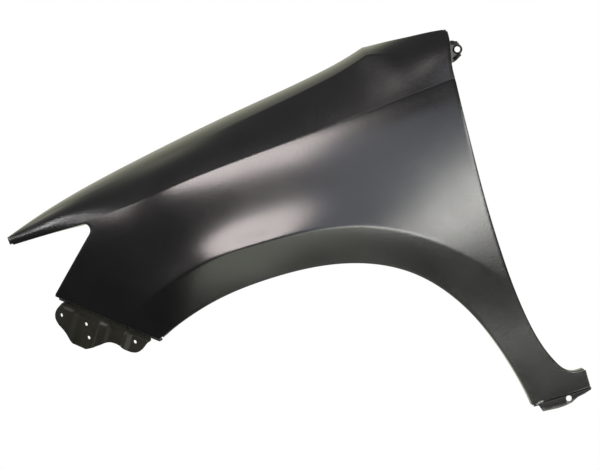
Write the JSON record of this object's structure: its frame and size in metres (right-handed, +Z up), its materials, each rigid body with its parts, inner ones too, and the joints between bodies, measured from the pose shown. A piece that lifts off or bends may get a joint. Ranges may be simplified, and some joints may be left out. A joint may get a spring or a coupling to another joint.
{
  "type": "car fender",
  "caption": "Left front car fender: pressed steel panel with a flared wheel arch, a pointed arm over the headlamp, a bolting ledge under the hood and welded brackets.",
  "frame": {"origin": "on the upper face of the bolting ledge under the hood's edge, beside its middle bolt hole", "axes": "the car's own: +X rearward, +Y inboard, +Z up; the painted outside of the panel faces -Y"},
  "size_m": [0.868, 0.2618, 0.6562],
  "materials": {
    "panel_primer": "satin black dip primer on pressed steel",
    "bracket_primer": "matt olive black dip primer on stamped steel"
  },
  "bodies": {
    "root": {"fender_panel": "panel_primer", "front_bumper_bracket": "bracket_primer", "rear_upper_bracket": "bracket_primer"}
  },
  "joints": []
}
